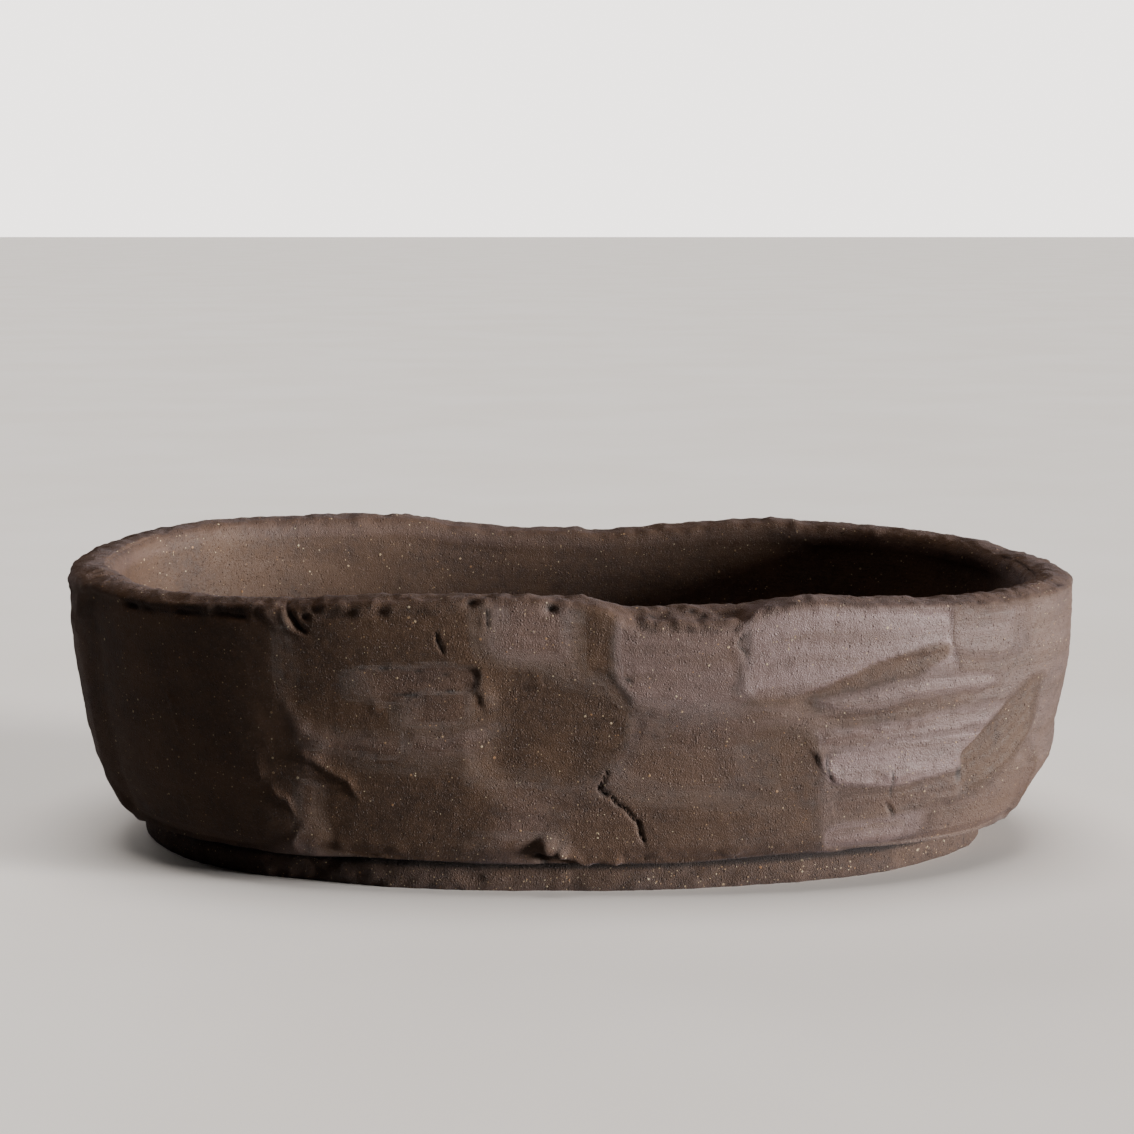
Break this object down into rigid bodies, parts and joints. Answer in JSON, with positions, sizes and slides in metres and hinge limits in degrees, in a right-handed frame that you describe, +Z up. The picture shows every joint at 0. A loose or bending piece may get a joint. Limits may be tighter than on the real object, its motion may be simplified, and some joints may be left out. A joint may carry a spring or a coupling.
{
  "type": "bonsai pot",
  "caption": "Low blunt-oval hand-built clay pot with an uneven rim, a set-back slab foot, drain holes under clipped mesh and tie-wire holes, for a small trained tree.",
  "frame": {"origin": "under the middle of the pot, on the surface it stands on", "axes": "+X along the pot, +Y to its back, +Z up"},
  "size_m": [0.2782, 0.156, 0.0805],
  "materials": {
    "wall_clay": "unglazed, scraped, coarse grog",
    "slab_clay": "unglazed, coarse grog",
    "coil_clay": "unglazed, finger-pressed",
    "screen_mesh": "matte black mesh",
    "clip_wire": "brown anodised, satin"
  },
  "bodies": {
    "root": {"wall": "wall_clay", "base_slab": "slab_clay", "corner_coil": "coil_clay", "drain_screen_left": "screen_mesh", "drain_screen_right": "screen_mesh", "screen_clip_left": "clip_wire", "screen_clip_right": "clip_wire"}
  },
  "joints": []
}
